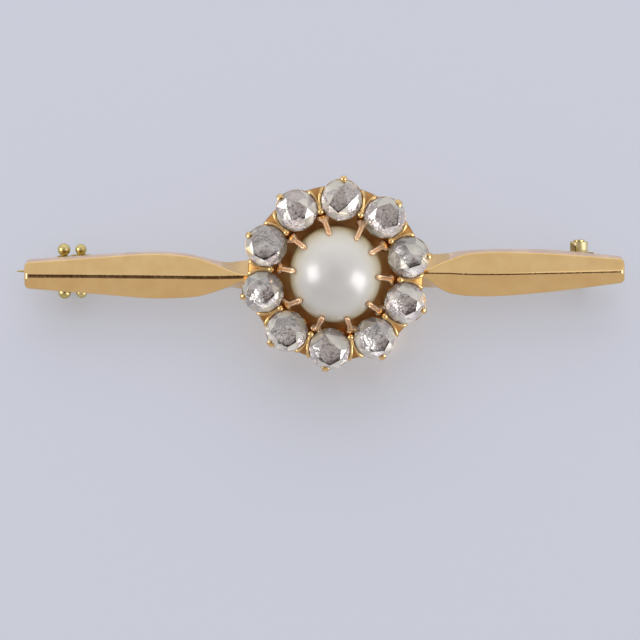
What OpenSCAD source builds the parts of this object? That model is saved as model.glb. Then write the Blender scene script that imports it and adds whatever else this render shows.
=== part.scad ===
// Bar brooch: a pearl in a ring of rose-cut stones, on a gold bar with a hinged pin.
// Every piece is drawn face up in millimetres, with the stones' girdles at z = 0, the bar
// along X and the pin behind it. posed() then lays the piece down as the brooch rests on
// its back: on the catch, on the hinge and on the lower edge of the cluster.

/* [Stones] */
// Number of stones round the pearl
stone_count = 10; // [10:1:10]
// Radius of the ring that the stones' centres lie on
ring_r = 5.65; // [5.6:0.05:5.75]
// Direction of the first stone, counter-clockwise from +X
first_stone_deg = 84.9; // [80:0.1:90]
// Radius of a stone at its girdle
stone_r = 1.52; // [1.45:0.01:1.54]
// Height of a stone above its girdle
stone_h = 1.0; // [0.8:0.05:1.2]
// Depth of a stone's flat base below its girdle
stone_base = 0.25; // [0.2:0.01:0.3]

/* [Pearl] */
// Radius of the pearl along the bar
pearl_rx = 3.47; // [3.4:0.01:3.5]
// Radius of the pearl across the bar
pearl_ry = 3.6; // [3.5:0.01:3.62]
// Radius of the pearl from its middle to its top
pearl_rz = 3.5; // [3.4:0.01:3.5]
// Height of the pearl's middle above the girdles
pearl_z = 0.3; // [0.25:0.01:0.35]

/* [Cluster] */
// Radius of a stone's collet at its top edge
collet_r = 1.63; // [1.6:0.01:1.66]
// Radius of a stone's collet at its foot
collet_foot_r = 1.2; // [1.1:0.05:1.3]
// Height of a collet
collet_h = 1.6; // [1.5:0.05:1.7]
// Depth of the middle of the rounded back rim below the girdles
rim_depth = 4.75; // [4.7:0.05:4.8]
// Radius of the ring that the back rim follows
rim_ring_r = 5.7; // [5.6:0.05:5.8]
// Radius of the back rim's round wire
rim_wire_r = 0.3; // [0.25:0.01:0.32]
// Thickness of the gold wall behind the stones
wall = 0.5; // [0.4:0.05:0.6]
// Radius of the round wire of a pearl claw
prong_r = 0.15; // [0.12:0.01:0.17]
// Radius of a bead between two stones
bead_r = 0.23; // [0.21:0.01:0.24]
// Radius of the forked wires between two stones
fork_r = 0.12; // [0.11:0.01:0.13]

/* [Bar] */
// Depth of the bar's front ridge below the girdles
ridge_depth = 1.8; // [1.75:0.05:1.9]
// Thickness of the bar from its ridge to its flat back
bar_t = 2.1; // [2:0.05:2.2]
// Fall of a front face for each millimetre away from the ridge
face_slope = 0.48; // [0.4:0.01:0.55]
// Half width of the worn flat along the ridge
crest = 0.04; // [0.03:0.01:0.06]
// Width of the small bevel along the bar's front edges
edge_bevel = 0.07; // [0.05:0.01:0.1]
// Length of the bevel at the bar's outer ends
end_bevel = 0.14; // [0.1:0.01:0.2]

/* [Pin and hinge] */
// Position of the hinge along the bar
hinge_x = 18.73; // [18.6:0.01:18.9]
// Radius of the hinge's rolled knuckles
knuckle_r = 0.68; // [0.66:0.01:0.7]
// Radius of the hinge rivet
rivet_r = 0.27; // [0.25:0.01:0.28]
// Radius of the stiff half of the pin stem
stem_r = 0.36; // [0.34:0.01:0.38]
// Radius of the free half of the pin stem
point_r = 0.32; // [0.3:0.01:0.33]
// Position of the pin's sharp end along the bar
tip_x = -24.46; // [-24.6:0.01:-24.3]

/* [Safety catch] */
// Depth of the catch's axis below the girdles
catch_depth = 5.7; // [5.65:0.01:5.75]
// Radius of the fixed collar, which the brooch rests on
collar_r = 1.3; // [1.28:0.01:1.32]
// Outer radius of the tube that the ring turns on
tube_r = 0.92; // [0.9:0.01:0.94]
// Inner radius of the tube that the pin lies in
catch_bore_r = 0.62; // [0.6:0.01:0.64]
// Outer radius of the safety ring
ring_out_r = 1.2; // [1.18:0.01:1.22]
// Half width of the mouth that the pin enters by
mouth = 0.42; // [0.4:0.01:0.44]
// Distance of the round thumb knobs from the catch's axis
knob_reach = 1.65; // [1.6:0.01:1.66]

/* [Hidden] */
$fn = 48;

step_deg = 360 / stone_count;      // angle from one stone to the next
running_gap = 0.03;                // radial clearance of a turning fit
seat_gap = 0.025;                  // clearance round a set stone

// One row for each stone, clockwise from the top.
// Columns: turn of the facets, direction of the outer claw, 1 where that claw ends in a ball
STONES = [
    [37, 84.7, 1],
    [5, 48.2, 0],
    [35, 10.7, 0],
    [48, -22.9, 0],
    [2, -61, 0],
    [22, -96.7, 0],
    [41, -133.6, 0],
    [33, -166.9, 0],
    [0, 155.1, 0],
    [22, 125.1, 0]
];
TURN = 0;
CLAW = 1;
BALL = 2;

// Stations of the two halves of the bar, from the cluster outwards.
// Columns: distance from the middle, half width in front, half width at the back
LEFT_BAR = [
    [5.9, 0.3, 1.15],
    [7.1, 0.22, 1.08],
    [8, 0.5, 0.98],
    [8.9, 0.86, 1.1],
    [10.3, 1.32, 1.45],
    [11.8, 1.59, 1.7],
    [14.2, 1.66, 1.77],
    [18, 1.41, 1.52],
    [23.6, 1, 1.1]
];
RIGHT_BAR = [
    [5.9, 0.3, 1.25],
    [6.9, 0.3, 1.27],
    [7.9, 0.88, 1.3],
    [8.7, 1.21, 1.4],
    [9.5, 1.45, 1.57],
    [10.3, 1.56, 1.67],
    [12.5, 1.61, 1.72],
    [16.5, 1.43, 1.54],
    [21.83, 0.92, 1.02]
];
PLACE = 0;
FRONT = 1;
BACK = 2;
left_neck_y = -0.35;               // the bar's ridge beside the cluster, left and right
right_neck_y = -0.15;
left_end_y = -0.1;                 // the bar's ridge at its outer ends
right_end_y = -0.1;
bar_steps = 26;                    // stretches that each half of the bar is drawn in

back_y = -0.1;                     // the line of the pin, the catch and the hinge
bar_back = -(ridge_depth + bar_t);

// The catch along the bar, from its outer end: flange, turning ring, fixed collar
flange_x = -21.6;
flange_t = 0.22;
flange_r = tube_r + 0.1;
ring_x = -21.35;
ring_w = 1.15;
ring_knob_x = -20.8;
ring_knob_r = 0.49;
collar_x = -20.17;
collar_w = 1.37;
collar_knob_x = -19.5;
collar_knob_r = 0.44;
knob_neck_r = 0.2;

// The hinge across the bar, measured from the pin's line
knuckle_top = 1.9;
knuckle_low = 1.4;
knuckle_in = 0.55;
leg_out = 1.25;
plate_t = 0.22;

// Lean of the resting brooch: the floor touches the back rim and the catch's collar
rest_run = rim_ring_r + back_y;
rest_drop = catch_depth - rim_depth;
lean = atan(rest_drop / rest_run)
    + asin((collar_r - rim_wire_r) / norm([rest_run, rest_drop]));
hinge_z = -(catch_depth + (collar_r - knuckle_low * sin(lean)) / cos(lean) - knuckle_r);
rest_h = catch_depth * cos(lean) + back_y * -sin(lean) + collar_r;

// Middle of the resting brooch, which the origin lies under
claw_r = 0.13;
claw_ring_r = ring_r + stone_r + seat_gap + claw_r;
right_end_x = RIGHT_BAR[len(RIGHT_BAR) - 1][PLACE] + end_bevel;
mid_x = (tip_x + right_end_x) / 2;
mid_y = ((rim_ring_r * cos(lean) + rim_depth * sin(lean) + rim_wire_r)
    - (claw_ring_r + claw_r) * cos(lean)) / 2;

function stone_deg(i) = first_stone_deg - i * step_deg;
function gap_deg(i) = stone_deg(i) - step_deg / 2;
function ring_points(n, r, z) = [for (k = [0:n - 1]) [r * cos(k * 360 / n), r * sin(k * 360 / n), z]];
function mix(a, b, t) = a + (b - a) * t;

// Radius of the pearl in the direction a, seen from the front
function pearl_r(a) = 1 / sqrt(pow(cos(a) / pearl_rx, 2) + pow(sin(a) / pearl_ry, 2));

// Smooth value of a column of a station table at the place x
function slope_at(rows, col, i) =
    let (a = max(i - 1, 0), b = min(i + 1, len(rows) - 1))
    (rows[b][col] - rows[a][col]) / (rows[b][PLACE] - rows[a][PLACE]);
function segment(rows, x, i = 0) =
    i >= len(rows) - 2 || x <= rows[i + 1][PLACE] ? i : segment(rows, x, i + 1);
function smooth(rows, col, x) =
    let (i = segment(rows, x), w = rows[i + 1][PLACE] - rows[i][PLACE],
         t = (x - rows[i][PLACE]) / w, s = 1 - t)
    rows[i][col] * s * s * (1 + 2 * t) + rows[i + 1][col] * t * t * (3 - 2 * t)
    + slope_at(rows, col, i) * w * t * s * s - slope_at(rows, col, i + 1) * w * t * t * s;

module posed() {
    translate([-mid_x, -mid_y, rest_h]) rotate([lean, 0, 0]) children();
}

module along_x(x, r, h) {
    translate([x, 0, 0]) rotate([0, 90, 0]) cylinder(r = r, h = h);
}

module along_y(y, r, h) {
    translate([0, y, 0]) rotate([-90, 0, 0]) cylinder(r = r, h = h);
}

// A round wire bent round Z, from the direction a to the direction b
module bent_wire(bend_r, wire_r, a, b) {
    rotate(a) rotate_extrude(angle = b - a) translate([bend_r, 0]) circle(r = wire_r, $fn = 24);
}

// Rose-cut stone: a tiny six-sided table, six star facets, eighteen tooth facets, flat base
module rose_cut() {
    table_r = 0.15;
    star_r = 0.86;
    star_h = 0.68 * stone_h;
    tooth_r = stone_r + 0.09;
    star = 6;
    first_girdle = 2 * star;
    first_base = 4 * star;
    points = concat(
        ring_points(star, table_r, stone_h),
        ring_points(star, star_r, star_h),
        ring_points(2 * star, tooth_r, 0),
        ring_points(2 * star, tooth_r, -stone_base));
    faces = concat(
        [[for (k = [star - 1:-1:0]) k]],
        [for (k = [0:star - 1]) let (n = (k + 1) % star) [k, n, star + n, star + k]],
        [for (k = [0:star - 1]) let (n = (k + 1) % star)
            [star + k, star + n, first_girdle + 2 * k + 1]],
        [for (k = [0:star - 1]) [star + k, first_girdle + 2 * k + 1, first_girdle + 2 * k]],
        [for (k = [0:star - 1])
            [star + k, first_girdle + 2 * k, first_girdle + (2 * k + 2 * star - 1) % (2 * star)]],
        [for (k = [0:2 * star - 1]) let (n = (k + 1) % (2 * star))
            [first_girdle + k, first_girdle + n, first_base + n, first_base + k]],
        [[for (k = [0:2 * star - 1]) first_base + k]]);
    intersection() {
        translate([0, 0, -stone_base]) cylinder(r = stone_r, h = stone_base + stone_h);
        polyhedron(points = points, faces = faces);
    }
}

module stone(i) {
    color("lavender")
        posed() rotate(stone_deg(i)) translate([ring_r, 0, 0]) rotate(STONES[i][TURN]) rose_cut();
}

module pearl() {
    color("linen")
        posed() translate([0, 0, pearl_z]) scale([pearl_rx, pearl_ry, pearl_rz]) sphere(r = 1);
}

// Crown of the cluster: ten collets, the web between them and the wall behind, all turned
// round the pearl, with a seat cut for each stone
module crown() {
    web_top = -0.05;
    floor_top = -1.5;
    floor_low = -1.95;
    ledge_low = -1.4;
    wall_low_r = rim_ring_r + wall / 2;
    difference() {
        union() {
            rotate_extrude($fn = 96) polygon([
                [3.2, floor_low],
                [6.45 - wall, floor_low],
                [wall_low_r - wall, -rim_depth],
                [wall_low_r, -rim_depth],
                [6.45, ledge_low],
                [6.6, ledge_low],
                [6.6, -0.55],
                [5.9, web_top],
                [4.95, web_top],
                [4.95, floor_top],
                [3.2, floor_top]
            ]);
            for (i = [0:stone_count - 1]) rotate(stone_deg(i)) translate([ring_r, 0, -collet_h])
                cylinder(r1 = collet_foot_r, r2 = collet_r, h = collet_h);
        }
        for (i = [0:stone_count - 1]) rotate(stone_deg(i))
            translate([ring_r, 0, -stone_base - seat_gap]) cylinder(r = stone_r + seat_gap, h = 2);
    }
    translate([0, 0, -rim_depth]) rotate_extrude($fn = 96) translate([rim_ring_r, 0])
        circle(r = rim_wire_r, $fn = 24);
}

// Round cup under the pearl
module pearl_cup() {
    cup_r = 3.68;
    cup_z = pearl_z + cup_r - pearl_rz - 0.03;
    cup_top = -1.2;
    cup_t = 0.4;
    difference() {
        intersection() {
            translate([0, 0, cup_z]) sphere(r = cup_r + cup_t, $fn = 96);
            translate([0, 0, cup_top - 4]) cylinder(r = cup_r, h = 4);
        }
        translate([0, 0, cup_z]) sphere(r = cup_r, $fn = 96);
    }
}

// Claw that bends from the gap between two stones over the pearl's edge, to a small ball
module pearl_claw(a) {
    bend_r = 2.56;
    bend_x = 1.9 + pearl_r(a) - pearl_rx;
    bend_z = pearl_z - 0.4;
    root_deg = -38;
    tip_deg = 58;
    tip_r = prong_r + 0.03;
    rotate(a) translate([bend_x, 0, bend_z]) rotate([90, 0, 0]) {
        bent_wire(bend_r, prong_r, root_deg, tip_deg);
        rotate(tip_deg) translate([bend_r, 0, 0]) sphere(r = tip_r, $fn = 24);
    }
}

// Bead and forked wires between two stones: the wires run round the stones' edges
module forks() {
    fork_bend = collet_r + 0.07;
    beside = 90 + step_deg / 2;
    inner_end = beside - 6;
    outer_end = beside - 49;
    bead_ring_r = 5;
    for (i = [0:stone_count - 1]) {
        rotate(stone_deg(i)) translate([ring_r, 0, 0]) {
            bent_wire(fork_bend, fork_r, outer_end, inner_end);
            mirror([0, 1, 0]) bent_wire(fork_bend, fork_r, outer_end, inner_end);
        }
        rotate(gap_deg(i)) translate([bead_ring_r, 0, 0.02]) sphere(r = bead_r, $fn = 32);
    }
}

// Outer claw of a stone: a short post with a small lip or ball over the stone's edge
module outer_claw(i) {
    lip_r = 0.17;
    lip_w = 0.5;
    ball_r = 0.24;
    lip_z = 0.43;
    over = 0.2;
    rotate(STONES[i][CLAW]) translate([claw_ring_r, 0, 0]) {
        translate([0, 0, -1]) cylinder(r = claw_r, h = 1 + lip_z);
        if (STONES[i][BALL] == 1) translate([-over / 2, 0, lip_z + 0.06]) sphere(r = ball_r, $fn = 32);
        else translate([-over, 0, lip_z]) along_y(-lip_w / 2, lip_r, lip_w);
    }
}

// Half of the bar: a roof-shaped front, small edge bevels, side walls and a flat back.
// Its rows give the widths, and its ridge runs from neck_y at the cluster to end_y outside.
module half_bar(rows, neck_y, end_y) {
    first = rows[0][PLACE];
    last = rows[len(rows) - 1][PLACE];
    places = concat([for (k = [0:bar_steps]) mix(first, last, k / bar_steps)], [last + end_bevel]);
    points = [for (k = [0:len(places) - 1])
        let (x = places[k], shrink = k > bar_steps ? end_bevel : 0,
             y = mix(neck_y, end_y, (x - first) / (last - first)),
             f = smooth(rows, FRONT, min(x, last)) - shrink,
             b = smooth(rows, BACK, min(x, last)) - shrink,
             top = -ridge_depth - shrink, low = bar_back + shrink,
             edge = top - (f - edge_bevel) * face_slope)
        for (p = [[-crest, top], [-(f - edge_bevel), edge], [-f, edge - edge_bevel], [-b, low],
                  [b, low], [f, edge - edge_bevel], [f - edge_bevel, edge], [crest, top]])
            [x, y + p[0], p[1]]];
    n = 8;
    end = len(places) - 1;
    faces = concat(
        [[for (j = [0:n - 1]) j]],
        [for (k = [0:end - 1], j = [0:n - 1]) let (m = (j + 1) % n)
            [k * n + j, (k + 1) * n + j, (k + 1) * n + m, k * n + m]],
        [[for (j = [n - 1:-1:0]) end * n + j]]);
    polyhedron(points = points, faces = faces);
}

// Fixed part of the safety catch: a slit tube with a collar, two thumb knobs and a foot
module catch_tube() {
    foot_y = 0.5;
    pad_y = 1.38;
    translate([0, back_y, -catch_depth]) difference() {
        union() {
            along_x(flange_x, tube_r, collar_x - flange_x + 0.1);
            along_x(flange_x, flange_r, flange_t);
            along_x(collar_x, collar_r, collar_w);
            knob_pair(collar_knob_x, collar_knob_r, collar_r);
            translate([collar_x + 0.1, -foot_y, 0])
                cube([collar_w - 0.2, 2 * foot_y, catch_depth + bar_back + 0.2]);
            translate([collar_x + 0.04, -pad_y, catch_depth + bar_back - plate_t])
                cube([collar_w, 2 * pad_y, plate_t + 0.1]);
        }
        catch_way(flange_x - 1, catch_bore_r, 6);
    }
}

// Round way for the pin with its open mouth towards the back
module catch_way(x, r, len) {
    along_x(x, r, len);
    translate([x, -mouth, -2]) cube([len, 2 * mouth, 2]);
}

module knob_pair(x, r, from_r) {
    for (side = [-1, 1]) {
        translate([x, side * knob_reach, 0]) sphere(r = r, $fn = 32);
        translate([x, 0, 0]) along_y(side > 0 ? from_r - 0.1 : -knob_reach,
            knob_neck_r, knob_reach - from_r + 0.1);
    }
}

// Fixed part of the hinge: two legs with rolled knuckles, the upper one open in front
module hinge_bracket() {
    leg_x = 0.6;
    pad_x = 1;
    leg_top = bar_back + 0.2 - hinge_z;
    notch_r = 0.62;
    translate([hinge_x, back_y, hinge_z]) difference() {
        union() {
            along_y(knuckle_in, knuckle_r, knuckle_top - knuckle_in);
            along_y(-knuckle_low, knuckle_r, knuckle_low - knuckle_in);
            for (y = [knuckle_in, -leg_out]) translate([-leg_x, y, 0])
                cube([2 * leg_x, leg_out - knuckle_in, leg_top]);
            translate([-pad_x, -leg_out, bar_back - plate_t - hinge_z])
                cube([2 * pad_x, 2 * leg_out, plate_t + 0.1]);
        }
        along_y(-3, rivet_r + 0.02, 6);
        translate([-knuckle_r - 0.05, knuckle_top - 0.72, 0.05]) cylinder(r = notch_r, h = 2);
    }
}

module gold_mount() {
    color("goldenrod") posed() {
        crown();
        pearl_cup();
        forks();
        for (i = [0:stone_count - 1]) {
            pearl_claw(gap_deg(i));
            outer_claw(i);
        }
        half_bar(RIGHT_BAR, right_neck_y, right_end_y);
        mirror([1, 0, 0]) half_bar(LEFT_BAR, left_neck_y, left_end_y);
        catch_tube();
        hinge_bracket();
    }
}

module hinge_rivet() {
    head_r = 0.42;
    head_t = 0.12;
    head_gap = 0.02;
    low = -knuckle_low - head_gap;
    high = knuckle_top + head_gap;
    color("goldenrod") posed() translate([hinge_x, back_y, hinge_z]) {
        along_y(low, rivet_r, high - low);
        along_y(low - head_t, head_r, head_t);
        along_y(high, head_r, head_t);
    }
}

// Pin stem: an eye on the rivet, a stiff half, a thinner free half and a needle point
module pin_stem() {
    eye_r = 0.62;
    eye_half = knuckle_in - running_gap;
    step_x = -7;
    free_x = -8;
    taper_x = -18.2;
    needle_x = -22.6;
    needle_r = 0.22;
    tip_r = 0.05;
    color("goldenrod") posed() translate([0, back_y, hinge_z]) difference() {
        union() {
            translate([hinge_x, 0, 0]) along_y(-eye_half, eye_r, 2 * eye_half);
            along_x(step_x, stem_r, hinge_x - eye_r + 0.15 - step_x);
            rotate([0, 90, 0]) {
                translate([0, 0, free_x]) cylinder(r1 = point_r, r2 = stem_r, h = step_x - free_x);
                translate([0, 0, taper_x]) cylinder(r = point_r, h = free_x - taper_x);
                translate([0, 0, needle_x])
                    cylinder(r1 = needle_r, r2 = point_r, h = taper_x - needle_x);
                translate([0, 0, tip_x]) cylinder(r1 = tip_r, r2 = needle_r, h = needle_x - tip_x);
            }
        }
        translate([hinge_x, 0, 0]) along_y(-1, rivet_r + running_gap, 2);
    }
}

// Safety ring: turns on the catch's tube to close its mouth behind the pin
module safety_ring() {
    color("goldenrod") posed() translate([0, back_y, -catch_depth]) difference() {
        union() {
            along_x(ring_x, ring_out_r, ring_w);
            knob_pair(ring_knob_x, ring_knob_r, ring_out_r);
        }
        catch_way(ring_x - 1, tube_r + running_gap, 4);
    }
}

gold_mount();
pearl();
stone(0);  // stone_01
stone(1);  // stone_02
stone(2);  // stone_03
stone(3);  // stone_04
stone(4);  // stone_05
stone(5);  // stone_06
stone(6);  // stone_07
stone(7);  // stone_08
stone(8);  // stone_09
stone(9);  // stone_10
hinge_rivet();
pin_stem();
safety_ring();
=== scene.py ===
# A bar brooch: a pearl in a ring of rose-cut stones, on a gold bar with a hinged pin and a
# turning safety catch. It lies on its back on a pale glossy sheet, in soft studio light.
import random
from math import asin, atan2, cos, hypot, pi, radians, sin, tan, tau

import bmesh
import bpy
from mathutils import Matrix, Vector, noise


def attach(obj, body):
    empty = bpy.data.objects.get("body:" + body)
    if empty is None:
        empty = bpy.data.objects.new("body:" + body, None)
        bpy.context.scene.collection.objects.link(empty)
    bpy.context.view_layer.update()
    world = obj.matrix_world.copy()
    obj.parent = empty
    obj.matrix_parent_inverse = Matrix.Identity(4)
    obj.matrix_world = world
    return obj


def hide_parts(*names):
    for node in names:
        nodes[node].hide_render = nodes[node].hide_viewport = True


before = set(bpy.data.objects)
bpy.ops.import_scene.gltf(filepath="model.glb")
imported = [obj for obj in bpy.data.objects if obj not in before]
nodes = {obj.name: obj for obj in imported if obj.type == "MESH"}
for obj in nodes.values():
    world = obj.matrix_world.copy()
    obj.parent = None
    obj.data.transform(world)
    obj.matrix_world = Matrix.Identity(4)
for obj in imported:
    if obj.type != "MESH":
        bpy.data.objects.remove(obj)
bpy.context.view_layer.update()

# How the brooch lies
# Each piece is drawn face up in millimetres, with the stones' girdles at z = 0, the bar along X
# and the pin behind. It is then laid down, resting on its catch, its hinge and its back rim.

# Places are measured from the pearl's middle, and depths from the stones' girdles
FITTINGS_Y = -0.1
CATCH_DEPTH = 5.7
COLLAR_R = 1.3
RIM_RING = 5.7
RIM_DEPTH = 4.75
RIM_WIRE = 0.3
PIN_POINT = -24.46
BAR_END = 21.97
LOWEST_CLAW = 7.455
rest_run = RIM_RING + FITTINGS_Y
rest_drop = CATCH_DEPTH - RIM_DEPTH
lean = atan2(rest_drop, rest_run) + asin((COLLAR_R - RIM_WIRE) / hypot(rest_run, rest_drop))
middle_x = (PIN_POINT + BAR_END) / 2
middle_y = (RIM_RING * cos(lean) + RIM_DEPTH * sin(lean) + RIM_WIRE
            - LOWEST_CLAW * cos(lean)) / 2
rest_height = CATCH_DEPTH * cos(lean) - FITTINGS_Y * sin(lean) + COLLAR_R
lay_down = (Matrix.Scale(0.001, 4) @ Matrix.Translation((-middle_x, -middle_y, rest_height))
            @ Matrix.Rotation(lean, 4, "X"))

# Camera
# It looks down on the brooch from 300 mm away, six degrees from straight on to the stones,
# and is rolled by half a degree. The cluster sits a little right of the middle and high.
DISTANCE = 300
OFF_STRAIGHT = 6
ROLL = 0.5
PICTURE_WIDTH = 640
PIXELS_PER_MM = 13.27
# In pixels, from the middle of the picture to the middle of the pearl
CLUSTER_RIGHT = 15.6
CLUSTER_HIGH = 45.7
SENSOR_WIDTH = 36
tilt = lean - radians(OFF_STRAIGHT)
roll = radians(ROLL)
# From the brooch to the lens, and the picture's up and right
towards = Vector((0, -sin(tilt), cos(tilt)))
up = Vector((sin(roll), cos(tilt) * cos(roll), sin(tilt) * cos(roll)))
right = up.cross(towards)
aim = lay_down @ Vector() - (right * CLUSTER_RIGHT + up * CLUSTER_HIGH) / PIXELS_PER_MM / 1000
camera_data = bpy.data.cameras.new("camera")
camera_data.sensor_width = SENSOR_WIDTH
camera_data.lens = SENSOR_WIDTH * DISTANCE * PIXELS_PER_MM / PICTURE_WIDTH
camera_data.clip_start = 0.01
camera_data.clip_end = 10
camera = bpy.data.objects.new("camera", camera_data)
camera.matrix_world = (Matrix.Translation(aim + towards * DISTANCE / 1000)
                       @ Matrix((right, up, towards)).transposed().to_4x4())
bpy.context.scene.collection.objects.link(camera)
bpy.context.scene.camera = camera
bpy.context.scene.view_settings.view_transform = "Standard"


# Light tent
# A white tent surrounds the brooch, brighter towards the top of the picture, with a dark opening
# for the lens. Two soft lamps stand left and right of it and give the pearl its two lights.
def linear(hex_colour):
    """An sRGB hex colour as linear red, green, blue and alpha."""
    channels = [int(hex_colour[i:i + 2], 16) / 255 for i in (1, 3, 5)]
    return [c / 12.92 if c <= 0.04045 else ((c + 0.055) / 1.055) ** 2.4 for c in channels] + [1]


def add(tree, kind, inputs, **settings):
    """A new node with its settings, its inputs linked or set."""
    made = tree.nodes.new(kind)
    for name, value in settings.items():
        setattr(made, name, value)
    for name, value in inputs.items():
        if isinstance(value, bpy.types.NodeSocket):
            tree.links.new(value, made.inputs[name])
        else:
            made.inputs[name].default_value = value
    return made


def set_ramp(ramp, stops):
    """Gives a colour ramp its stops, each a place and a colour."""
    band = ramp.color_ramp
    while len(band.elements) < len(stops):
        band.elements.new(0.5)
    for element, (place, colour) in zip(band.elements, stops):
        element.position = place
        element.color = linear(colour)


world = bpy.data.worlds.new("light tent")
bpy.context.scene.world = world
world.use_nodes = True
tent = world.node_tree
tent.nodes.clear()
place = add(tent, "ShaderNodeTexCoord", {})
# The opening is a dark brownish disc with a soft edge, 14 degrees in radius, which is 0.078 of
# half a turn
lens = add(tent, "ShaderNodeVectorMath", {0: place.outputs["Generated"], 1: towards},
           operation="DOT_PRODUCT")
off_axis = add(tent, "ShaderNodeMath", {0: lens.outputs["Value"]}, operation="ARCCOSINE")
half_turns = add(tent, "ShaderNodeMath", {0: off_axis.outputs["Value"], 1: pi},
                 operation="DIVIDE")
opening = add(tent, "ShaderNodeValToRGB", {"Fac": half_turns.outputs["Value"]})
set_ramp(opening, [(0, "#5E4036"), (0.078, "#5E4036"), (0.1, "#FFFFFF")])
# The cloth's tones run from its near foot to its far top, along a line this many degrees from
# upright
TENT_LEAN = 80
far_top = (0, sin(radians(TENT_LEAN)), cos(radians(TENT_LEAN)))
along = add(tent, "ShaderNodeVectorMath", {0: place.outputs["Generated"], 1: far_top},
            operation="DOT_PRODUCT")
share = add(tent, "ShaderNodeMapRange", {"Value": along.outputs["Value"], "From Min": -1,
                                         "From Max": 1})
cloth = add(tent, "ShaderNodeValToRGB", {"Fac": share.outputs["Result"]})
set_ramp(cloth, [(0, "#C2BCB9"), (0.09, "#BCB7B3"), (0.2, "#A09C9A"), (0.36, "#AEACAB"),
                 (0.55, "#D2D0D1"), (0.7, "#D0D0D2"), (0.8, "#C9C9CB"), (0.88, "#E6E6E6")])
shade = add(tent, "ShaderNodeVectorMath", {0: cloth.outputs["Color"],
                                           1: opening.outputs["Color"]}, operation="MULTIPLY")
glow = add(tent, "ShaderNodeBackground", {"Color": shade.outputs["Vector"], "Strength": 1.25})
add(tent, "ShaderNodeOutputWorld", {"Surface": glow.outputs["Background"]})

# Columns: degrees across and up from the lens axis, width and height in metres, power in watts,
# and whether the lamp is seen as a reflection. The third stands behind the tent's cloth.
LAMPS = [(-60, 1, 0.27, 0.24, 0.9, True), (61, -14, 0.25, 0.38, 1.25, True),
         (0, 62, 0.5, 0.3, 0.45, False)]
LAMP_DISTANCE = 0.5
side_lamps = []
for across, rise, wide, high, power, mirrored in LAMPS:
    lamp_data = bpy.data.lights.new("soft lamp", "AREA")
    lamp_data.shape = "RECTANGLE"
    lamp_data.size = wide
    lamp_data.size_y = high
    lamp_data.energy = power
    lamp = bpy.data.objects.new("soft lamp", lamp_data)
    lamp.visible_glossy = mirrored
    if mirrored:
        side_lamps.append(lamp)
    beam = Matrix.Rotation(radians(across), 3, up) @ towards
    beam = (beam + up * tan(radians(rise))).normalized()
    lamp.location = beam * LAMP_DISTANCE
    lamp.rotation_mode = "QUATERNION"
    lamp.rotation_quaternion = beam.to_track_quat("Z", "Y")
    bpy.context.scene.collection.objects.link(lamp)


# Sheet
# The brooch lies on a pale, cool grey sheet of opal acrylic. It is glossy, so it gives blurred
# reflections of the gold, and it has a painted glow of its own, which lightens the shadows on it.
def per_metre(millimetres):
    """How many features of this size make a metre, which is a pattern's scale."""
    return 1000 / millimetres


SHEET_REACH = 2
HAZE_PATCH = 11
sheet_mesh = bmesh.new()
bmesh.ops.create_grid(sheet_mesh, x_segments=2, y_segments=2, size=SHEET_REACH)
sheet_data = bpy.data.meshes.new("sheet")
sheet_mesh.to_mesh(sheet_data)
sheet_mesh.free()
sheet = bpy.data.objects.new("sheet", sheet_data)
bpy.context.scene.collection.objects.link(sheet)
# Cast acrylic with opal filler: smooth, with faint hazy patches, and a painted glow of its own
acrylic = bpy.data.materials.new("polished acrylic sheet")
acrylic.use_nodes = True
made = acrylic.node_tree
made.nodes.clear()
place = add(made, "ShaderNodeTexCoord", {})
haze = add(made, "ShaderNodeTexNoise", {"Vector": place.outputs["Object"],
                                        "Scale": per_metre(HAZE_PATCH), "Detail": 3})
rough = add(made, "ShaderNodeMapRange", {"Value": haze.outputs["Fac"], "To Min": 0.15,
                                         "To Max": 0.27})
# The emission is painted light: the sheet glows evenly though no lamp lies beneath it
skin = add(made, "ShaderNodeBsdfPrincipled", {
    "Base Color": linear("#A1A7BB"), "Roughness": rough.outputs["Result"], "IOR": 1.49,
    "Emission Color": linear("#D6D5D6"), "Emission Strength": 0.445})
add(made, "ShaderNodeOutputMaterial", {"Surface": skin.outputs["BSDF"]})
sheet_data.materials.append(acrylic)
# Flags keep the side lamps' light off the sheet, so that it stays even
flagged = bpy.data.collections.new("kept out of the side lamps' light")
flagged.objects.link(sheet)
flagged.collection_objects[0].light_linking.link_state = "EXCLUDE"
for lamp in side_lamps:
    lamp.light_linking.receiver_collection = flagged

# Bar
# Two halves of solid 14 carat gold, each roof-shaped in front with a worn ridge, a small bright
# bevel round its face, upright filed sides and a flat back. Plain necks join them to the crown.

# The gold was rolled, soldered, filed and polished by hand, and is worn by use. Its shine is
# broken by fine scratches along the bar, and rubbed spots are a little paler.
# In millimetres. Real scratches are several times finer: these are drawn wide enough to show.
RUBBED_SPOT = 1.4
SCRATCH_LENGTH = 2.5
SCRATCH_WIDTH = 0.11
SCRATCH_DEPTH = 0.01
# Between these levels of the pattern, the gold goes from one tone to the other
WORN_FROM = 0.35
WORN_TO = 0.65


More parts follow.
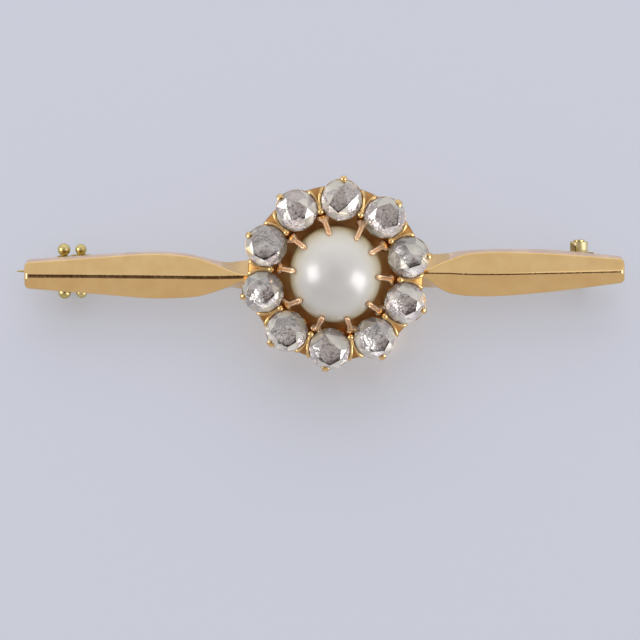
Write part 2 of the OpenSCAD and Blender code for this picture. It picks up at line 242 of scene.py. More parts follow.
def new_gold(name, low, high, rough_low, rough_high, scratch):
    """Gold between two tones and two roughnesses, with scratches of this strength."""
    gold = bpy.data.materials.new(name)
    gold.use_nodes = True
    made = gold.node_tree
    made.nodes.clear()
    place = add(made, "ShaderNodeTexCoord", {})
    rubbed = add(made, "ShaderNodeTexNoise", {"Vector": place.outputs["Object"],
                                              "Scale": per_metre(RUBBED_SPOT), "Detail": 3})
    tone = add(made, "ShaderNodeValToRGB", {"Fac": rubbed.outputs["Fac"]})
    set_ramp(tone, [(WORN_FROM, low), (WORN_TO, high)])
    rough = add(made, "ShaderNodeMapRange", {"Value": rubbed.outputs["Fac"],
                                             "From Min": WORN_FROM, "From Max": WORN_TO,
                                             "To Min": rough_low, "To Max": rough_high})
    fine = per_metre(SCRATCH_WIDTH)
    drawn = add(made, "ShaderNodeMapping", {"Vector": place.outputs["Object"],
                                            "Scale": (per_metre(SCRATCH_LENGTH), fine, fine)})
    lines = add(made, "ShaderNodeTexNoise", {"Vector": drawn.outputs["Vector"], "Scale": 1,
                                             "Detail": 2})
    relief = add(made, "ShaderNodeBump", {"Height": lines.outputs["Fac"], "Strength": scratch,
                                          "Distance": SCRATCH_DEPTH / 1000})
    skin = add(made, "ShaderNodeBsdfPrincipled", {"Base Color": tone.outputs["Color"],
                                                  "Metallic": 1,
                                                  "Roughness": rough.outputs["Result"],
                                                  "Normal": relief.outputs["Normal"]})
    add(made, "ShaderNodeOutputMaterial", {"Surface": skin.outputs["BSDF"]})
    return gold


# Buffed bright: the bar mirrors the tent's cloth with only slightly soft edges
bar_gold = new_gold("polished 14 carat yellow gold", "#E6C085", "#EBC88E", 0.12, 0.16, 0.15)
# Left from the file, the bar's sides scatter the light; their paler colour is painted light,
# which lifts sides that mirror the shaded sheet
filed_and_lightened_gold = new_gold("reddish gold, filed, with a painted paler tone", "#F0D0B4", "#F7DEC6", 0.34, 0.46,
                      0.3)


def lay(name, mesh, finish, slot, body, *replaced, crease=28):
    """Makes a piece of a mesh that is drawn face up, and lays it down with the brooch."""
    bmesh.ops.remove_doubles(mesh, verts=mesh.verts, dist=1e-5)
    bmesh.ops.recalc_face_normals(mesh, faces=mesh.faces)
    for face in mesh.faces:
        face.smooth = crease > 0
    for edge in mesh.edges:
        edge.smooth = edge.calc_face_angle(pi) < radians(crease)
    mesh.transform(lay_down)
    data = bpy.data.meshes.new(name)
    mesh.to_mesh(data)
    mesh.free()
    for material in finish if isinstance(finish, list) else [finish]:
        data.materials.append(material)
    piece = bpy.data.objects.new(name, data)
    bpy.context.scene.collection.objects.link(piece)
    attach(piece, body)
    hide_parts(*replaced)
    return piece


def draw_out(mesh, sections):
    """Draws an outline out from section to section, and closes both its ends."""
    corner = mesh.verts.layers.int.get("corner") or mesh.verts.layers.int.new("corner")
    outline = bmesh.ops.create_circle(mesh, segments=len(sections[0]), radius=1, cap_ends=False)
    for number, vert in enumerate(outline["verts"]):
        vert[corner] = number
        vert.co = sections[0][number]
    edges = list(dict.fromkeys(edge for vert in outline["verts"] for edge in vert.link_edges))
    bmesh.ops.contextual_create(mesh, geom=edges)
    for section in sections[1:]:
        pushed = bmesh.ops.extrude_edge_only(mesh, edges=edges)["geom"]
        edges = [g for g in pushed if isinstance(g, bmesh.types.BMEdge)]
        for vert in (g for g in pushed if isinstance(g, bmesh.types.BMVert)):
            vert.co = section[vert[corner]]
    bmesh.ops.contextual_create(mesh, geom=edges)


def smooth_row(rows, x):
    """The columns of a table at x, on a smooth curve through its rows."""
    i = max(k for k in range(len(rows) - 1) if k == 0 or x > rows[k][0])
    gap = rows[i + 1][0] - rows[i][0]
    t = (x - rows[i][0]) / gap
    values = []
    for col in range(1, len(rows[0])):
        rises = []
        for k in (i, i + 1):
            a = max(k - 1, 0)
            b = min(k + 1, len(rows) - 1)
            rises.append((rows[b][col] - rows[a][col]) / (rows[b][0] - rows[a][0]))
        values.append(rows[i][col] * (1 - t) ** 2 * (1 + 2 * t) + rows[i + 1][col] * t * t
                      * (3 - 2 * t) + rises[0] * gap * t * (1 - t) ** 2
                      - rises[1] * gap * t * t * (1 - t))
    return values


# Columns: distance from the middle, the ridge's y, width of the upper and of the lower face, and
# half width at the back
LEFT_BAR = [(5.9, -0.35, 0.3, 0.3, 1.15), (7.1, -0.33, 0.22, 0.35, 1.08),
            (8, -0.34, 0.52, 0.71, 0.98), (8.9, -0.35, 0.9, 1.05, 1.1),
            (10.3, -0.34, 1.37, 1.47, 1.45), (11.8, -0.31, 1.63, 1.65, 1.7),
            (14.2, -0.26, 1.69, 1.7, 1.77), (18, -0.19, 1.42, 1.42, 1.52),
            (23.47, -0.1, 1, 1, 1.1)]
RIGHT_BAR = [(5.9, -0.15, 0.3, 0.3, 1.25), (6.9, -0.15, 0.3, 0.45, 1.27),
             (7.9, -0.17, 0.72, 1.2, 1.3), (8.7, -0.19, 1.04, 1.58, 1.4),
             (9.5, -0.24, 1.34, 1.69, 1.57), (10.3, -0.27, 1.55, 1.75, 1.67),
             (12.5, -0.29, 1.65, 1.74, 1.76), (16.5, -0.25, 1.45, 1.46, 1.62),
             (21.79, -0.17, 0.95, 0.9, 1.02)]
# Columns: name, rows, side, half width of the worn flat on the ridge, width of its lower part,
# which leans a little more, how unevenly the ridge is worn, and width of the burnished line
# that grows above it towards the end
HALVES = [("bar_left", LEFT_BAR, -1, 0.13, 0.075, 0.2, 0),
          ("bar_right", RIGHT_BAR, 1, 0.052, 0.02, 0.6, 0.11)]
# Columns: distance past the last row, how far the face and the back draw in there
ROUNDED_END = [(-0.06, 0), (-0.02, 0), (0, 0), (0.02, 0.008), (0.13, 0.07), (0.16, 0.16)]
END_CAP = ROUNDED_END[-1][0]
BAR_STEPS = 160
RIDGE = -1.8
BAR_BACK = -3.9
FACE_SLOPE = 0.48
STRIP_SLOPE = 0.035
# Ripples of wear along the ridge and along the burnished line, per millimetre
WEAR_RIPPLES = 11
BURNISH_RIPPLES = 7
BURNISH_SEED = 5
BURNISH_START = 10.5
BURNISH_GROWTH = 7
BURNISH_SLOPE = 0.75
BURNISH_WEAR = 0.6
BEVEL = 0.08
BEVEL_ROUND = 0.85
BEVEL_LIP = 0.015
BEVEL_FOOT = 0.02
BACK_BEVEL = 0.08
BACK_FLARE = 0.06
CORNER_R = 0.36
# Where the ridge ends, its worn flat spreads into a small hip
HIP = 0.24
HIP_SPREAD = 1.2
# Beyond the neck, the faces that stand this upright get the filed finish and its painted paler
# tone
NECK_END = 8.7
UPRIGHT = 0.9
for name, rows, side, crest, strip, wear, burnish in HALVES:
    bar = bmesh.new()
    sections = []
    first = rows[0][0]
    last = rows[-1][0]
    stations = [(first + (last - first) * step / BAR_STEPS, 0) for step in range(BAR_STEPS)]
    stations += [(last + past, drop) for past, drop in ROUNDED_END]
    for x, drop in stations:
        y, upper, lower, behind = smooth_row(rows, min(x, last))
        top = RIDGE - drop
        low = BAR_BACK + drop
        from_tip = x - last - END_CAP
        into = max(0, from_tip + CORNER_R)
        corner = CORNER_R - (CORNER_R ** 2 - min(into, CORNER_R) ** 2) ** 0.5
        points = []
        for facing, front in ((-1, lower - corner), (1, upper - corner)):
            back = max(behind - corner, front + BACK_FLARE)
            worn = crest * (1 + wear * noise.noise(Vector((x * WEAR_RIPPLES, facing, side))))
            worn += max(0, from_tip + HIP) * HIP_SPREAD
            edge = top - (front - BEVEL) * FACE_SLOPE
            half = [(worn, top - worn * FACE_SLOPE), (front - BEVEL, edge)]
            if facing < 0:
                half = [(worn - strip, half[0][1] + strip * STRIP_SLOPE)] + half
            else:
                line = burnish * min(1, max(0, x - BURNISH_START) / BURNISH_GROWTH)
                ripple = noise.noise(Vector((x * BURNISH_RIPPLES, BURNISH_SEED, side)))
                line *= 1 + BURNISH_WEAR * ripple
                half.insert(1, (worn + line, half[0][1] - line * BURNISH_SLOPE))
            half += [(front - BEVEL_LIP, edge - BEVEL * BEVEL_ROUND),
                     (front, edge - BEVEL - BEVEL_FOOT), (back, low + BACK_BEVEL),
                     (back - BACK_BEVEL, low)]
            points += [(facing * across, z) for across, z in half[::-facing]]
        sections.append([Vector((side * x, y + across, z)) for across, z in points])
    draw_out(bar, sections)
    bar.normal_update()
    # Upright faces beyond the neck take the paler filed gold, which is partly painted light
    for face in bar.faces:
        beyond_neck = abs(face.calc_center_median().x) > NECK_END
        face.material_index = int(abs(face.normal.y) > UPRIGHT and beyond_neck)
    lay(name, bar, [bar_gold, filed_and_lightened_gold], "yellow_gold", "brooch", "gold_mount", crease=10)


# Crown
# The ring that carries the stones: a web between the collets, a deep groove round the pearl and
# a flared wall with a round wire along its back edge. The pearl's cup stands in the middle.
def turn(mesh, profile, steps):
    """Turns a profile of radii and heights round the upright axis, as on a lathe."""
    verts = [mesh.verts.new((r, 0, z)) for r, z in profile]
    edges = [mesh.edges.new((verts[i - 1], verts[i])) for i in range(len(verts))
             if profile[i - 1][0] > 0 or profile[i][0] > 0]
    bmesh.ops.spin(mesh, geom=verts + edges, cent=(0, 0, 0), axis=(0, 0, 1), dvec=(0, 0, 0),
                   angle=tau, steps=steps, use_merge=True)


# In the deep groove and on the collets' walls the gold is browner, darker and matt
dull_gold = new_gold("browner matt gold in the corners", "#C28A50", "#D8AB72", 0.3,
                     0.45, 0.3)
# A redder alloy, rubbed by the cloth, so the claws glow pinkish against the pearl
prong_gold = new_gold("reddish yellow gold", "#E8BE96", "#F2CFAA", 0.12, 0.24, 0.2)
# Painted shade: the web between the wires gets a darker orange-brown gold, where shade falls
# between the stones and the wires
shaded_gold = new_gold("gold with painted shade between the wires", "#AC7840", "#C8985F", 0.3, 0.45, 0.3)
FLOOR = -1.5
FLOOR_THICK = 0.45
# Columns: radius, height
RING_AND_WALL = [(3.2, FLOOR - FLOOR_THICK), (5.95, FLOOR - FLOOR_THICK), (5.45, -4.75),
                 (5.95, -4.75), (6.45, -1.4), (6.6, -1.4), (6.62, -0.8), (6.56, -0.66),
                 (6.4, -0.56), (5.9, -0.4), (5.3, -0.33), (5.02, -0.34), (4.95, -0.4),
                 (4.95, FLOOR + 0.1), (4.85, FLOOR), (3.2, FLOOR)]
RING_STEPS = 144
CUP_STEPS = 96
CUP_R = 3.68
CUP_WALL = 0.4
CUP_Z = 0.45
CUP_REACH = 63
CUP_STEP = 7
CUP_EDGE = [(CUP_R, -1.2), (CUP_R, -1.31)]
crown = bmesh.new()
turn(crown, RING_AND_WALL, RING_STEPS)
turn(crown, [(RIM_RING + RIM_WIRE * cos(radians(a)), RIM_WIRE * sin(radians(a)) - RIM_DEPTH)
             for a in range(0, 360, 20)], RING_STEPS)
cup_inside = [(CUP_R * sin(radians(a)), CUP_Z - CUP_R * cos(radians(a)))
              for a in range(0, CUP_REACH + 1, CUP_STEP)]
cup_outside = [((CUP_R + CUP_WALL) * sin(radians(a)), CUP_Z - (CUP_R + CUP_WALL) * cos(radians(a)))
               for a in range(CUP_REACH, -1, -CUP_STEP)]
turn(crown, cup_inside + CUP_EDGE + cup_outside, CUP_STEPS)
# Radii up to which the front is the browner matt groove, the step's rubbed lip and the web with
# painted shade
GROOVE_EDGE = 5
LIP_EDGE = 5.5
WEB_EDGE = 6.61
for face in crown.faces:
    middle = face.calc_center_median()
    reach = hypot(middle.x, middle.y)
    if middle.z > FLOOR - 0.01 and reach < WEB_EDGE:
        face.material_index = 1 if reach < GROOVE_EDGE else 2 if reach < LIP_EDGE else 3
lay("crown", crown, [bar_gold, dull_gold, prong_gold, shaded_gold], "yellow_gold", "brooch",
    "gold_mount")

# Collets
# Ten short tapered tubes of gold, one for each stone, with a thin rim turned over its edge.
# They are soldered into the crown, and only the rims are polished: the walls are browner and matt.

# Directions are in degrees, anticlockwise from the bar's right half
STONES = 10
PITCH = 360 / STONES
FIRST_STONE = 84.9
RING = 5.65
COLLET_STEPS = 56
# Columns: radius, height
COLLET = [(0, -1.6), (1.14, -1.6), (1.2, -1.56), (1.55, -0.12), (1.585, -0.07), (1.588, -0.04),
          (1.58, -0.025), (1.565, -0.03), (1.51, -0.275), (0, -0.275)]
# Heights between which its wall is dull
DULL_FROM = -1.59
DULL_TO = -0.3


def around(angle, radius, height=0):
    """A place round the pearl, turned to face outwards."""
    return Matrix.Rotation(radians(angle), 4, "Z") @ Matrix.Translation((radius, 0, height))


def repeat(mesh, unit, places):
    """Adds a copy of the unit at each of the places."""
    data = bpy.data.meshes.new("unit")
    unit.to_mesh(data)
    unit.free()
    for matrix in places:
        data.transform(matrix)
        mesh.from_mesh(data)
        data.transform(matrix.inverted())
    bpy.data.meshes.remove(data)


collet = bmesh.new()
turn(collet, COLLET, COLLET_STEPS)
for face in collet.faces:
    face.material_index = int(DULL_FROM < face.calc_center_median().z < DULL_TO)
collets = bmesh.new()
repeat(collets, collet, [around(FIRST_STONE - PITCH * k, RING) for k in range(STONES)])
lay("collets", collets, [bar_gold, dull_gold], "yellow_gold", "brooch", "gold_mount")

# Forks and beads
# Between two stones lies a bead, and from it two wires run out along the stones' edges like a
# Y. They are soldered on, and end in small flattened leaves on the crown's edge.
ARM_BEND = 1.69
ARM_STEPS = 14
ARM_START = 122
ARM_SWEEP = 61
ARM_HEIGHT = 0.14
WIRE_R = 0.08
WIRE_SWELL = 0.02
# The leaf takes the last 0.45 of the wire
LEAF_START = 0.55
LEAF_SHARE = 0.45
LEAF_SWELL = 0.09
LEAF_FLAT = 0.35
LEAF_DROP = 0.2
LEAF_END = 0.45
forks = bmesh.new()
for k in range(STONES):
    for side in (1, -1):
        sections = []
        for step in range(ARM_STEPS + 1):
            along = step / ARM_STEPS
            angle = radians(ARM_START - ARM_SWEEP * along)
            leaf = max(0, along - LEAF_START) / LEAF_SHARE
            thick = WIRE_R + WIRE_SWELL * sin(pi * along) + LEAF_SWELL * leaf ** 1.5
            if step == ARM_STEPS:
                thick *= LEAF_END
            flat = 1 - LEAF_FLAT * leaf
            middle = Vector((RING + ARM_BEND * cos(angle), side * ARM_BEND * sin(angle),
                             ARM_HEIGHT - LEAF_DROP * leaf * leaf))
            outward = Vector((cos(angle), side * sin(angle), 0))
            sections.append([middle + outward * thick * cos(radians(a))
                             + Vector((0, 0, thick * flat * sin(radians(a))))
                             for a in range(0, 360, 45)])
        before = set(forks.verts)
        draw_out(forks, sections)
        bmesh.ops.transform(forks, matrix=around(FIRST_STONE - PITCH * k, 0),
                            verts=[v for v in forks.verts if v not in before])
lay("forks", forks, bar_gold, "yellow_gold", "brooch", "gold_mount", crease=60)

BEAD_R = 0.26
BEAD_RING = 4.88
BEAD_HEIGHT = 0.22
beads = bmesh.new()
bead = bmesh.new()
bmesh.ops.create_uvsphere(bead, u_segments=24, v_segments=16, radius=BEAD_R)
repeat(beads, bead, [around(FIRST_STONE - PITCH / 2 - PITCH * k, BEAD_RING, BEAD_HEIGHT)
                     for k in range(STONES)])
lay("beads", beads, bar_gold, "yellow_gold", "brooch", "gold_mount", crease=60)

# Pearl claws
# Ten claws of reddish gold rise from the groove and bend over the pearl. Each has a flat broad
# shoulder, a finger filed to two ridges with a groove between them, and a tiny ball at its tip.

# Columns: direction of the root, direction of the tip
CLAWS = [(102.5, 98.1), (62.2, 60.8), (30.3, 33.4), (-6.1, -1), (-39.5, -40), (-73.9, -75.4),
         (-110.8, -108.9), (-150, -147), (172.3, 171.7), (140, 136.2)]
# The claw's line, upright to its shoulder and then curved inwards to its tip
ROOT_Z = -1.6
SHOULDER_R, SHOULDER_Z = 4.28, 0.4
BEND_R, BEND_Z = 3.98, 1.35
TIP_R, TIP_Z = 3.14, 2.08
UPRIGHT_STEPS = 3
CURVED_STEPS = 13
# Half widths of the pearl along and across the bar, which the claws' ring follows
PEARL_ALONG = 3.47
PEARL_ACROSS = 3.6
CLAW_WIDTH = 0.86
CLAW_TAPER = 0.43
TAPER_START = 0.12
TAPER_SHARE = 0.34
CLAW_THICK = 0.4
CLAW_THINNING = 0.12
TIP_WIDTH = 0.9
TIP_THICK = 0.7
GROOVE_SHALLOW = 0.48
GROOVE_DEEPENS = 0.34
TIP_BALL_R = 0.16
FILED_EDGE = 0.02
pearl_claws = bmesh.new()
for root, tip in CLAWS:
    pearl_r = (cos(radians(root)) ** 2 / PEARL_ALONG ** 2
               + sin(radians(root)) ** 2 / PEARL_ACROSS ** 2) ** -0.5
    sections = []
    for step in range(UPRIGHT_STEPS + CURVED_STEPS + 1):
        rise = max(0, step - UPRIGHT_STEPS) / CURVED_STEPS
        reach = SHOULDER_R
        height = ROOT_Z + (SHOULDER_Z - ROOT_Z) * step / UPRIGHT_STEPS
        lean_in = 0
        climb = 1
        if rise > 0:
            reach, height = [a * (1 - rise) ** 2 + 2 * b * rise * (1 - rise) + c * rise * rise
                             for a, b, c in ((SHOULDER_R, BEND_R, TIP_R),
                                             (SHOULDER_Z, BEND_Z, TIP_Z))]
            lean_in = (SHOULDER_R - BEND_R) * (1 - rise) + (BEND_R - TIP_R) * rise
            climb = (BEND_Z - SHOULDER_Z) * (1 - rise) + (TIP_Z - BEND_Z) * rise
        bend = atan2(lean_in, climb)
        turned = radians(root + (tip - root) * rise)
        reach += pearl_r - PEARL_ALONG
        narrowed = min(1, max(0, rise - TAPER_START) / TAPER_SHARE)
        wide = CLAW_WIDTH - CLAW_TAPER * narrowed * narrowed * (3 - 2 * narrowed)
        thick = CLAW_THICK - CLAW_THINNING * rise
        if step == UPRIGHT_STEPS + CURVED_STEPS:
            wide *= TIP_WIDTH
            thick *= TIP_THICK
        middle = Vector((reach * cos(turned), reach * sin(turned), height))
        across = Vector((-sin(turned), cos(turned), 0))
        out = Vector((cos(bend) * cos(turned), cos(bend) * sin(turned), sin(bend)))
        groove = GROOVE_SHALLOW - GROOVE_DEEPENS * narrowed
        # Columns: share of the width, share of the thickness
        shape = [(-0.5, -0.42), (0.5, -0.42), (0.5, 0.2), (0.33, 0.5), (0.14, 0.46), (0, groove),
                 (-0.14, 0.46), (-0.33, 0.5), (-0.5, 0.2)]
        sections.append([middle + across * a * wide + out * b * thick for a, b in shape])
    draw_out(pearl_claws, sections)
    before = set(pearl_claws.verts)
    bmesh.ops.create_uvsphere(pearl_claws, u_segments=16, v_segments=10, radius=TIP_BALL_R)
    bmesh.ops.translate(pearl_claws, vec=middle, verts=[v for v in pearl_claws.verts
                                                        if v not in before])
claws = lay("pearl_claws", pearl_claws, prong_gold, "yellow_gold", "brooch", "gold_mount",
            crease=40)
rounding = claws.modifiers.new("filed edges", "BEVEL")
rounding.width = FILED_EDGE / 1000
rounding.segments = 2
rounding.limit_method = "ANGLE"
rounding.angle_limit = radians(25)

# Outer claws
# A small upright tab outside each stone, cut from plate and bent over its edge. The one at the
# top is narrower and ends in a ball.

# Columns: direction, width, how far the tab reaches over the stone
TABS = [(48.2, 0.5, 0.3), (10.7, 0.42, 0.22), (-22.9, 0.42, 0.2), (-61, 0.5, 0.16),
        (-96.7, 0.5, 0.16), (-133.6, 0.52, 0.2), (-166.9, 0.4, 0.2), (155.1, 0.46, 0.24),
        (125.1, 0.46, 0.2), (84.7, 0.26, 0.1)]
BALL_TAB = 84.7
BALL_R = 0.27
BALL_INWARDS = 0.08
BALL_HEIGHT = 0.46
TAB_RING = 7.33
TAB_HALF_THICK = 0.1
TAB_END = 0.5
# Columns: share of the width, share of half the thickness
TAB_SHAPE = [(-0.5, -0.7), (0.5, -0.7), (0.5, 0.5), (0.3, 1), (-0.3, 1), (-0.5, 0.5)]
tabs = bmesh.new()
for direction, wide, over in TABS:
    sections = []
    # Columns: distance from the tabs' ring, height
    path = [(-0.31, -1.05), (-0.18, -0.5), (-0.07, -0.08), (-0.02, 0.12), (-0.08, 0.27),
            (-0.1 - over * 0.5, 0.34), (-0.1 - over, 0.33), (-0.12 - over, 0.32)]
    for number, (from_ring, height) in enumerate(path):
        ahead = path[min(number + 1, len(path) - 1)]
        behind = path[max(number - 1, 0)]
        along = Vector((ahead[0] - behind[0], 0, ahead[1] - behind[1])).normalized()
        out = Vector((along.z, 0, -along.x))
        size = TAB_END if number == len(path) - 1 else 1
        sections.append([Vector((TAB_RING + from_ring, 0, height))
                         + out * TAB_HALF_THICK * size * b + Vector((0, wide * size * a, 0))
                         for a, b in TAB_SHAPE])
    before = set(tabs.verts)
    draw_out(tabs, sections)
    if direction == BALL_TAB:
        older = set(tabs.verts)
        bmesh.ops.create_uvsphere(tabs, u_segments=20, v_segments=14, radius=BALL_R)
        bmesh.ops.translate(tabs, vec=(TAB_RING - BALL_INWARDS, 0, BALL_HEIGHT),
                            verts=[v for v in tabs.verts if v not in older])
    bmesh.ops.rotate(tabs, cent=(0, 0, 0), matrix=Matrix.Rotation(radians(direction), 3, "Z"),
                     verts=[v for v in tabs.verts if v not in before])
lay("outer_claws", tabs, bar_gold, "yellow_gold", "brooch", "gold_mount", crease=40)

# Catch and hinge bracket
# The fixed halves of the fittings, soldered to the bar's back: a slit tube with a collar and two
# thumb knobs on a foot, and a bracket with two rolled knuckles. Both keep the mount's own shape.

# A greener alloy, drawn into tube and wire and buffed less: its lights are broad
fitting_gold = new_gold("greenish yellow gold", "#CDB878", "#DCCB90", 0.24, 0.36, 0.1)
# Sanded and not buffed: the hinge's bracket is pale and has no sharp lights
satin_gold = new_gold("satin greenish yellow gold", "#D3C598", "#DDD1A6", 0.42, 0.55, 0.1)
# Columns: name, ends along the bar, finish
FITTINGS = [("catch", -21.8, -18.6, fitting_gold), ("hinge_bracket", 17.6, 19.85, satin_gold)]
# Their tops are cut just behind the bar's back, and then sunk into it
CUT = BAR_BACK - 0.004
SOLDERED_FROM = BAR_BACK - 0.005
SUNK = 0.1
for name, low_x, high_x, finish in FITTINGS:
    fitting = bmesh.new()
    fitting.from_mesh(nodes["gold_mount"].data)
    fitting.transform(lay_down.inverted())
    bmesh.ops.remove_doubles(fitting, verts=fitting.verts, dist=1e-4)
    for point, outwards in (((low_x, 0, 0), (-1, 0, 0)), ((high_x, 0, 0), (1, 0, 0)),
                            ((0, 0, CUT), (0, 0, 1))):
        bmesh.ops.bisect_plane(fitting, geom=fitting.verts[:] + fitting.edges[:]
                               + fitting.faces[:], plane_co=point, plane_no=outwards,
                               clear_outer=True)
    bmesh.ops.holes_fill(fitting, edges=[e for e in fitting.edges if e.is_boundary], sides=0)
    for vert in fitting.verts:
        if vert.co.z > SOLDERED_FROM:
            vert.co.z += SUNK
    lay(name, fitting, finish, "yellow_gold", "brooch", "gold_mount", crease=30)

# Pin, rivet and safety ring
# The moving halves of the fittings: a pin of hard wire with an eye, the rivet that it turns on,
# and a ring with two thumb knobs that turns on the catch's tube. Only their finish is new.
for name in ("hinge_rivet", "pin_stem", "safety_ring"):
    nodes[name].data.materials.clear()
    nodes[name].data.materials.append(fitting_gold)

# Pearl
# A cultured pearl, a little longer across the bar than along it, seated in its cup. Its nacre
# is off-white with a cream and greenish cast, and shines softly from under its surface.
PEARL_SIZE = (3.46, 3.64, 3.49)
PEARL_Y = 0.04
PEARL_Z = 0.3
# It is not quite round: broad and fine swells, as shares of its radius
BROAD_SWELL = 0.004
FINE_SWELL = 0.0012
pearl = bmesh.new()
bmesh.ops.create_icosphere(pearl, subdivisions=6, radius=1)
for vert in pearl.verts:
    vert.co *= (1 + BROAD_SWELL * noise.noise(vert.co * 2.2)
                + FINE_SWELL * noise.noise(vert.co * 7))
bmesh.ops.scale(pearl, vec=PEARL_SIZE, verts=pearl.verts)
bmesh.ops.translate(pearl, vec=(0, PEARL_Y, PEARL_Z), verts=pearl.verts)
# Layered nacre, polished by nature: broad soft lights under a thin glossy skin, and a cream
# tone that darkens and yellows towards the pearl's back, which at its rim is partly painted shade
# Its pattern lies on a ball of radius one, so 1.6 clouds to the radius are about 2.2 mm each
NACRE_SPAN = (0.0035, 0.0036, 0.0035)
CLOUDS = 1.6
CLOUD_DEPTH = 0.2
nacre = bpy.data.materials.new("nacre")
nacre.use_nodes = True
made = nacre.node_tree
made.nodes.clear()
place = add(made, "ShaderNodeTexCoord", {})
laid = add(made, "ShaderNodeMapping", {
    "Vector": place.outputs["Object"], "Location": lay_down @ Vector((0, 0, PEARL_Z)),
    "Rotation": (lean, 0, 0), "Scale": NACRE_SPAN}, vector_type="TEXTURE")
cloud = add(made, "ShaderNodeTexNoise", {"Vector": laid.outputs["Vector"], "Scale": CLOUDS,
                                         "Detail": 2})
axes = add(made, "ShaderNodeSeparateXYZ", {"Vector": laid.outputs["Vector"]})
layer = add(made, "ShaderNodeMath", {0: cloud.outputs["Fac"], 1: CLOUD_DEPTH,
                                     2: axes.outputs["Z"]}, operation="MULTIPLY_ADD")
# The darker, yellower stops at low heights are partly painted shade at the pearl's rim
tone_and_rim_shade = add(made, "ShaderNodeValToRGB", {"Fac": layer.outputs["Value"]})
set_ramp(tone_and_rim_shade, [(0.1, "#AD9865"), (0.35, "#BDAC87"), (0.6, "#C3BBA8"), (0.85, "#C5C2BC"),
                     (1, "#BEBBB8")])
skin = add(made, "ShaderNodeBsdfPrincipled", {
    "Base Color": tone_and_rim_shade.outputs["Color"], "Roughness": 0.38, "IOR": 1.9,
    "Subsurface Weight": 0.25, "Subsurface Radius": (1, 0.9, 0.75), "Subsurface Scale": 0.0006,
    "Coat Weight": 0.8, "Coat Roughness": 0.26, "Coat IOR": 1.8})
add(made, "ShaderNodeOutputMaterial", {"Surface": skin.outputs["BSDF"]})
lay("pearl_body", pearl, nacre, "pearl", "brooch", "pearl", crease=80)


# Rose-cut stones
# Old rose cuts, flat underneath, with a low star of facets over a ring of steeper ones and
# twelve uneven sides. Silver foil behind them makes them grey, with bright and dark facets.
def new_crystal(name, colour, clear):
    """Polished crystal, which lets through the share of light that is given as clear."""
    crystal = bpy.data.materials.new(name)
    crystal.use_nodes = True
    made = crystal.node_tree
    made.nodes.clear()
    skin = add(made, "ShaderNodeBsdfPrincipled", {
        "Base Color": linear(colour), "Roughness": 0.01, "IOR": 2.4,
        "Transmission Weight": clear})
    add(made, "ShaderNodeOutputMaterial", {"Surface": skin.outputs["BSDF"]})
    return crystal


# In millimetres
FOIL_CREASE = 0.2
FOIL_SPOT = 0.2
FOIL_RELIEF = 0.03


def new_foil(name, low, middle, high, roughness):
    """Creased metal foil, spotted in three tones."""
    foil = bpy.data.materials.new(name)
    foil.use_nodes = True
    made = foil.node_tree
    made.nodes.clear()
    place = add(made, "ShaderNodeTexCoord", {})
    creased = add(made, "ShaderNodeTexVoronoi", {"Vector": place.outputs["Object"],
                                                 "Scale": per_metre(FOIL_CREASE)})
    spots = add(made, "ShaderNodeTexNoise", {"Vector": place.outputs["Object"],
                                             "Scale": per_metre(FOIL_SPOT), "Detail": 3})
    shade = add(made, "ShaderNodeValToRGB", {"Fac": spots.outputs["Fac"]})
    set_ramp(shade, [(0.3, low), (0.42, middle), (0.6, high)])
    bumps = add(made, "ShaderNodeBump", {"Height": creased.outputs["Distance"],
                                         "Strength": 0.32, "Distance": FOIL_RELIEF / 1000})
    skin = add(made, "ShaderNodeBsdfPrincipled", {
        "Base Color": shade.outputs["Color"], "Metallic": 1, "Roughness": roughness,
        "Normal": bumps.outputs["Normal"]})
    add(made, "ShaderNodeOutputMaterial", {"Surface": skin.outputs["BSDF"]})
    return foil


# The star is clear, so the wrinkled foil sparkles through it. Each steeper facet is hazed, a
# little or more, and looks greyer or milkier. The foil's yellowed edge shows up the sides.
HAZED = 1
FOIL = 3
FOIL_EDGE = 4
stone_finish = [new_crystal("old cut crystal", "#FFFCFA", 1),
                new_crystal("crystal with a slight haze", "#F6EEEE", 0.8),
                new_crystal("crystal hazed by fine inclusions", "#F4F1E4", 0.62),
                new_foil("wrinkled silver foil", "#8C8180", "#E6E1E0", "#FFFDFD", 0.16),
                new_foil("foil yellowed at its edge", "#D8C8A4", "#EFE6CE", "#FFF9EC", 0.4)]
# Columns: turn of the facets, corners of the star, its radius, its shift right and up, the way
# that its dark facet faces, the star's slope in degrees
CUTS = [(50, 5, 0.72, -0.2, -0.18, 0, 1.5), (20, 6, 1, 0.24, 0.2, 0, 2.5),
        (10, 6, 0.98, 0.3, 0.2, -70, 9), (25, 6, 0.8, 0.17, -0.08, 30, 4),
        (3, 6, 0.92, 0.18, -0.25, 0, 6), (27, 6, 0.9, 0.04, -0.4, 40, 2.5),
        (30, 6, 0.78, 0.07, -0.42, -30, 4), (46, 6, 1, -0.11, 0.03, -10, 10),
        (37, 6, 1, -0.16, -0.1, -90, 10), (23, 5, 0.82, 0.06, 0, 0, 2)]
STONE_R = 1.55
STONE_BASE = 0.25
ROUGH_R = 1.68
SIDES = 12
SIDE_TURN = 360 / SIDES
UNDERCUT = 0.22
STAR_HEIGHT = 0.78
STAR_LIMIT = 1.2
STAR_DIP = 6
TABLE_R = 0.14
TABLE_RISE = 0.86
TOOTH_R = 1.28
TOOTH_HEIGHT = 0.5
# Facets whose normals are nearer to upright than this belong to the star
SHALLOW = 0.93
BASE_LEVEL = -0.2
GIRDLE_LEVEL = 0.02
CHANCE_SEED = 40


def star_point(radius, angle, rise, dips, shifts):
    """A corner on the leaning and shifted plane of a stone's star."""
    x = radius * cos(angle)
    y = radius * sin(angle)
    height = STAR_HEIGHT + rise - x * sin(radians(dips[0])) - y * sin(radians(dips[1]))
    x += shifts[0]
    y += shifts[1]
    inwards = min(1, STAR_LIMIT / hypot(x, y))
    return x * inwards, y * inwards, height


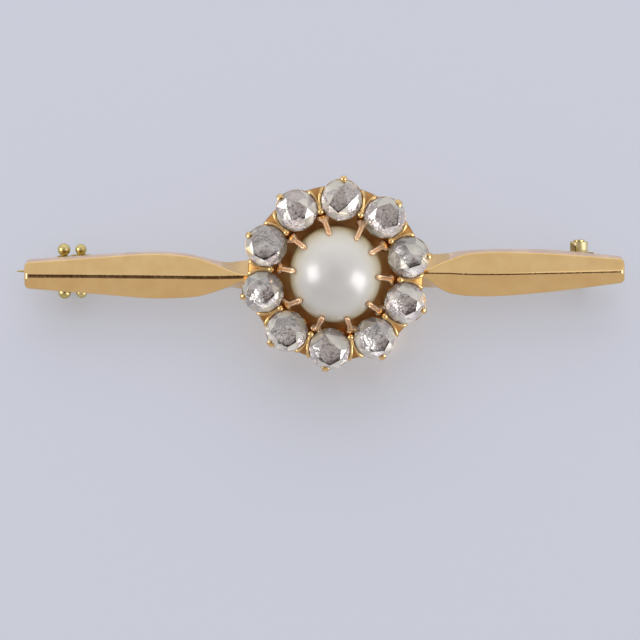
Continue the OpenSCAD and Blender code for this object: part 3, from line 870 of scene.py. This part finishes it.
for number, (facet_turn, corners, star_r, shift_x, shift_y, dark_way, slope) in enumerate(CUTS):
    # The cutter's hand: angles wander by a few degrees, and radii by a few hundredths
    chance = random.Random(CHANCE_SEED + number)
    stone = bmesh.new()
    dips = (-slope * cos(radians(dark_way)), STAR_DIP - slope * sin(radians(dark_way)))
    shifts = (shift_x, shift_y)
    table_rise = star_r * sin(radians(slope)) * TABLE_RISE
    for k in range(corners):
        angle = radians(360 / corners * k + facet_turn + chance.uniform(-6, 6))
        reach = star_r * chance.uniform(0.92, 1.08)
        stone.verts.new(star_point(TABLE_R, angle, table_rise, dips, shifts))
        stone.verts.new(star_point(reach, angle, 0, dips, shifts))
        angle += radians(180 / corners + chance.uniform(-5, 5))
        reach = TOOTH_R * chance.uniform(0.94, 1.04)
        height = TOOTH_HEIGHT * chance.uniform(0.8, 1.2)
        stone.verts.new((reach * cos(angle), reach * sin(angle), height))
    for k in range(SIDES):
        angle = radians(SIDE_TURN * k + facet_turn + chance.uniform(-4, 4))
        for height in (0, -STONE_BASE):
            stone.verts.new((ROUGH_R * cos(angle), ROUGH_R * sin(angle), height))
    bmesh.ops.convex_hull(stone, input=stone.verts[:])
    bmesh.ops.dissolve_limit(stone, angle_limit=radians(0.8), verts=stone.verts[:],
                             edges=stone.edges[:])
    for k in range(SIDES):
        angle = radians(SIDE_TURN * k + SIDE_TURN / 2 + facet_turn + chance.uniform(-5, 5))
        outwards = Vector((cos(angle), sin(angle), -UNDERCUT))
        bmesh.ops.bisect_plane(stone, geom=stone.verts[:] + stone.edges[:] + stone.faces[:],
                               plane_co=Vector((cos(angle), sin(angle), 0)) * STONE_R
                               * chance.uniform(0.955, 0.99),
                               plane_no=outwards, clear_outer=True)
        bmesh.ops.holes_fill(stone, edges=[e for e in stone.edges if e.is_boundary], sides=0)
    for face in stone.faces:
        middle = face.calc_center_median()
        if middle.z < GIRDLE_LEVEL:
            face.material_index = FOIL if middle.z < BASE_LEVEL else FOIL_EDGE
        elif abs(face.normal.z) < SHALLOW:
            face.material_index = HAZED + int(chance.random() < 0.5)
    stone.transform(Matrix.Translation(around(FIRST_STONE - PITCH * number, RING) @ Vector()))
    lay("rose_cut_%02d" % (number + 1), stone, stone_finish, "stone", "brooch",
        "stone_%02d" % (number + 1), crease=0)
